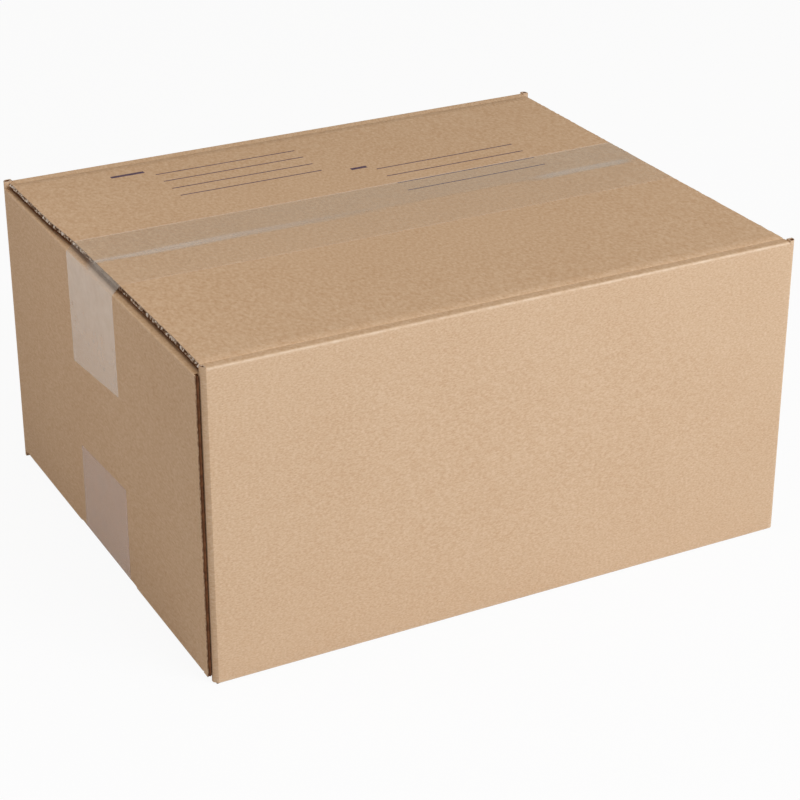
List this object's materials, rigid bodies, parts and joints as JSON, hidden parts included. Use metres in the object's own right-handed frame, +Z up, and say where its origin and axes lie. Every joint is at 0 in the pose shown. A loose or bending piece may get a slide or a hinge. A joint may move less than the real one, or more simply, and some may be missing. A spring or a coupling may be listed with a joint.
{
  "type": "closed cardboard box",
  "caption": "Closed rectangular shipping carton of kraft corrugated board, folded from one blank and held shut with clear tape over its top and bottom seams.",
  "frame": {"origin": "on the surface the carton rests on, under the middle of its box", "axes": "+X along the carton's length, +Y from its front to its back, +Z up"},
  "size_m": [0.2602, 0.213, 0.1326],
  "materials": {
    "kraft_board": "plain brown kraft liner, matt",
    "clear_tape": "clear packing film over kraft board"
  },
  "bodies": {
    "root": {"carton": "kraft_board", "top_tape": "clear_tape", "bottom_tape": "clear_tape"}
  },
  "joints": []
}
